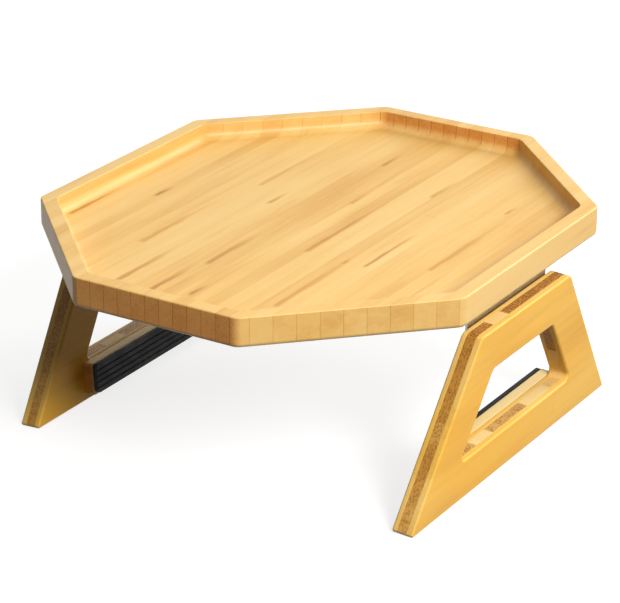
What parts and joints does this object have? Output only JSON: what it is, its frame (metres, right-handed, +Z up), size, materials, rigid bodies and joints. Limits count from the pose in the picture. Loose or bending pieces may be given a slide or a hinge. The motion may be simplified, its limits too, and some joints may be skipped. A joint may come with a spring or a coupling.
{
  "type": "bamboo sofa arm tray",
  "caption": "Octagonal bamboo tray with a shallow milled recess, on folding windowed legs with rubber grip strips, to stand or clip over a sofa arm.",
  "frame": {"origin": "on the surface that the tray stands on, under the middle of the tray", "axes": "+Z up; +Y along the hinges and the bamboo's grain; +X from the left leg to the right leg"},
  "size_m": [0.3, 0.36, 0.1392],
  "materials": {
    "tray_bamboo": "satin clear lacquer on honey bamboo strips",
    "leg_bamboo": "satin clear lacquer",
    "core_bamboo": "sealed end grain",
    "hinge_steel": "dull zinc plate",
    "screw_steel": "zinc plate",
    "grip_rubber": "matt black, ribbed"
  },
  "bodies": {
    "tray": {"tray_board": "tray_bamboo", "right_hinge_tray_leaf": "hinge_steel", "right_hinge_pin": "screw_steel", "right_tray_screw_1": "screw_steel", "right_tray_screw_2": "screw_steel", "right_tray_screw_3": "screw_steel", "right_tray_screw_4": "screw_steel", "left_hinge_tray_leaf": "hinge_steel", "left_hinge_pin": "screw_steel", "left_tray_screw_1": "screw_steel", "left_tray_screw_2": "screw_steel", "left_tray_screw_3": "screw_steel", "left_tray_screw_4": "screw_steel"},
    "right_leg": {"right_leg_inner_ply": "leg_bamboo", "right_leg_core": "core_bamboo", "right_leg_outer_ply": "leg_bamboo", "right_grip_batten": "leg_bamboo", "right_grip_pad": "grip_rubber", "right_hinge_leg_leaf": "hinge_steel", "right_leg_screw_1": "screw_steel", "right_leg_screw_2": "screw_steel", "right_leg_screw_3": "screw_steel", "right_leg_screw_4": "screw_steel"},
    "left_leg": {"left_leg_inner_ply": "leg_bamboo", "left_leg_core": "core_bamboo", "left_leg_outer_ply": "leg_bamboo", "left_grip_batten": "leg_bamboo", "left_grip_pad": "grip_rubber", "left_hinge_leg_leaf": "hinge_steel", "left_leg_screw_1": "screw_steel", "left_leg_screw_2": "screw_steel", "left_leg_screw_3": "screw_steel", "left_leg_screw_4": "screw_steel"}
  },
  "joints": [
    {"name": "right_leg_fold", "type": "hinge", "parent": "tray", "child": "right_leg", "pos_m": [0.1303, 0, 0.11632], "axis": [0, 1, 0], "range_deg": [-38, 83.5]},
    {"name": "left_leg_fold", "type": "hinge", "parent": "tray", "child": "left_leg", "pos_m": [-0.1303, 0, 0.11632], "axis": [0, -1, 0], "range_deg": [-38, 83.5]}
  ]
}
